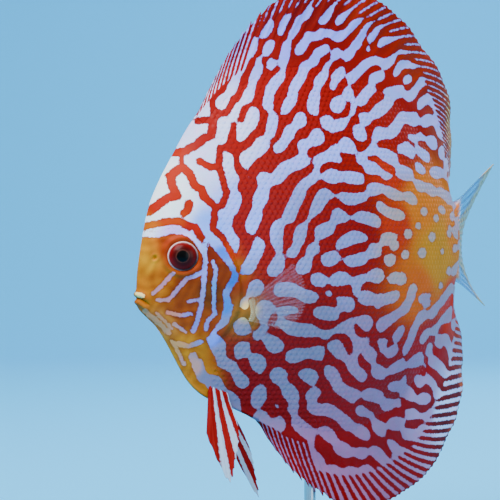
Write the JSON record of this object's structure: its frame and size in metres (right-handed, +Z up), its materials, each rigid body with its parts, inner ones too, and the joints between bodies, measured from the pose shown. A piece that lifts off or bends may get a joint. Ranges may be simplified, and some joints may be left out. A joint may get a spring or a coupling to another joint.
{
  "type": "discus fish display model",
  "caption": "Life-size discus fish, turning in the water, with rayed fins and red labyrinth marking, held over a round base by rods.",
  "frame": {"origin": "centre of the display base's underside", "axes": "+Z up, snout towards -X, the fish's left side towards -Y and its tail curving towards +Y"},
  "size_m": [0.1276, 0.1305, 0.1949],
  "materials": {
    "head_skin": "wet, glossy skin, yellow-orange face with pale blue lines",
    "body_skin": "wet scaled skin, red labyrinth lines on pale lavender",
    "fin_skin": "satin rayed fin, red and pale stripes along the rays",
    "clear_fin": "thin translucent rayed fin",
    "eye": "polished, black pupil in a dark red iris",
    "stand_base": "satin black",
    "stand_rod": "fine brushed along the rod"
  },
  "bodies": {
    "root": {"head": "head_skin", "trunk": "body_skin", "tail_root": "body_skin", "dorsal_fin": "fin_skin", "anal_fin": "fin_skin", "pelvic_fin_left": "fin_skin", "pelvic_fin_right": "fin_skin", "tail_fin": "clear_fin", "pectoral_fin_left": "clear_fin", "pectoral_fin_right": "clear_fin", "eye_left": "eye", "eye_right": "eye", "stand_base": "stand_base", "stand_rod_1": "stand_rod", "stand_rod_2": "stand_rod"}
  },
  "joints": []
}
